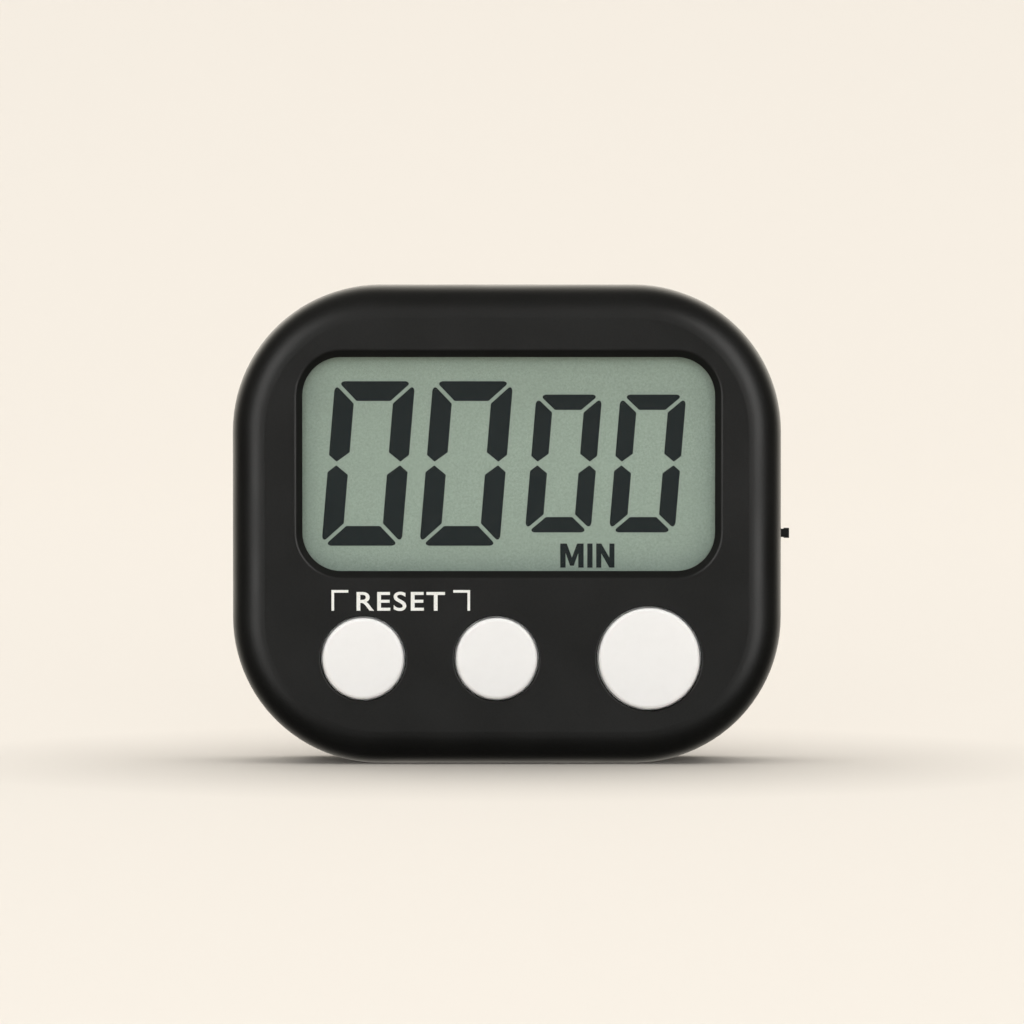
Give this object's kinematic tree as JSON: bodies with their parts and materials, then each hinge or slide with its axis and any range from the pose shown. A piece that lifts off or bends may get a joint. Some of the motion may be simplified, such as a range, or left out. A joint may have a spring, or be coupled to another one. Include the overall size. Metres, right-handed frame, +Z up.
{
  "type": "digital kitchen timer",
  "caption": "Pocket-size digital kitchen timer with a large display, round push buttons, a side slide switch, a sliding battery door, a fold-out stand and magnets.",
  "frame": {"origin": "middle of the flat base, on the face that the timer stands on, level with the middle of its depth", "axes": "+X to the viewer's right along the width, -Y out of the front face, +Z up the face from the base"},
  "size_m": [0.0762, 0.0209, 0.0654],
  "materials": {
    "black_shell": "fine satin texture",
    "black_tape": "matt",
    "clear_lens": "polished clear acrylic",
    "polarizer_film": "clear film with a slight haze",
    "display_glass": "clear glass",
    "lcd_dark": "dark liquid crystal",
    "lcd_panel": "grey green display ground",
    "reflector_film": "satin reflector",
    "conductive_rubber": "striped silicone rubber",
    "grey_foam": "soft foam",
    "green_board": "solder mask",
    "clear_silicone": "milky silicone",
    "black_epoxy": "cast epoxy",
    "tinned_metal": "tinned",
    "tan_ceramic": "fired ceramic",
    "ferrite": "sintered",
    "zinc_steel": "zinc plated",
    "brass_sheet": "rolled brass",
    "white_ceramic": "fired ceramic",
    "red_wire": "vinyl insulation",
    "black_wire": "vinyl insulation",
    "cell_jacket": null,
    "nickel_strip": "nickel plated",
    "nickel_magnet": "nickel plated",
    "white_button": "satin white",
    "carbon_rubber": "conductive rubber",
    "black_lever": "satin"
  },
  "bodies": {
    "case": {"front_case": "black_shell", "rear_case": "black_shell", "window_tape": "black_tape", "display_window": "clear_lens", "front_polarizer": "polarizer_film", "lcd_front_glass": "display_glass", "lcd_segments": "lcd_dark", "lcd_rear_glass": "lcd_panel", "rear_reflector": "reflector_film", "zebra_strip": "conductive_rubber", "foam_pad": "grey_foam", "circuit_board": "green_board", "keypad_mat": "clear_silicone", "chip_blob": "black_epoxy", "quartz_crystal": "tinned_metal", "chip_capacitors": "tan_ceramic", "chip_resistors": "black_epoxy", "drive_transistor": "black_epoxy", "boost_coil": "ferrite", "switch_housing": "tinned_metal", "board_screws": "zinc_steel", "case_screws": "zinc_steel", "buzzer_disc": "brass_sheet", "buzzer_ceramic": "white_ceramic", "red_buzzer_lead": "red_wire", "black_buzzer_lead": "black_wire", "battery_cell": "cell_jacket", "positive_contact": "nickel_strip", "negative_contact": "nickel_strip", "battery_spring": "nickel_strip", "red_battery_lead": "red_wire", "black_battery_lead": "black_wire", "left_magnet": "nickel_magnet", "right_magnet": "nickel_magnet"},
    "minute_key": {"minute_button": "white_button", "minute_pill": "carbon_rubber"},
    "second_key": {"second_button": "white_button", "second_pill": "carbon_rubber"},
    "start_key": {"start_button": "white_button", "start_pill": "carbon_rubber"},
    "switch_slider": {"switch_lever": "black_lever"},
    "stand": {"stand": "black_shell"},
    "battery_door": {"battery_door": "black_shell"}
  },
  "joints": [
    {"name": "minute_press", "type": "slide", "parent": "case", "child": "minute_key", "axis": [0, 1, 0], "range_m": [0, 0.0008], "stiffness_N_per_m": 900, "deforming": ["keypad_mat"]},
    {"name": "second_press", "type": "slide", "parent": "case", "child": "second_key", "axis": [0, 1, 0], "range_m": [0, 0.0008], "stiffness_N_per_m": 900, "deforming": ["keypad_mat"]},
    {"name": "start_press", "type": "slide", "parent": "case", "child": "start_key", "axis": [0, 1, 0], "range_m": [0, 0.0008], "stiffness_N_per_m": 900, "deforming": ["keypad_mat"]},
    {"name": "power_slide", "type": "slide", "parent": "case", "child": "switch_slider", "axis": [0, 0, 1], "range_m": [0, 0.0015]},
    {"name": "stand_fold", "type": "hinge", "parent": "case", "child": "stand", "pos_m": [0, 0.0088, 0.0085], "axis": [-1, 0, 0], "range_deg": [0, 100]},
    {"name": "door_slide", "type": "slide", "parent": "case", "child": "battery_door", "axis": [1, 0, 0], "range_m": [0, 0.062]}
  ]
}
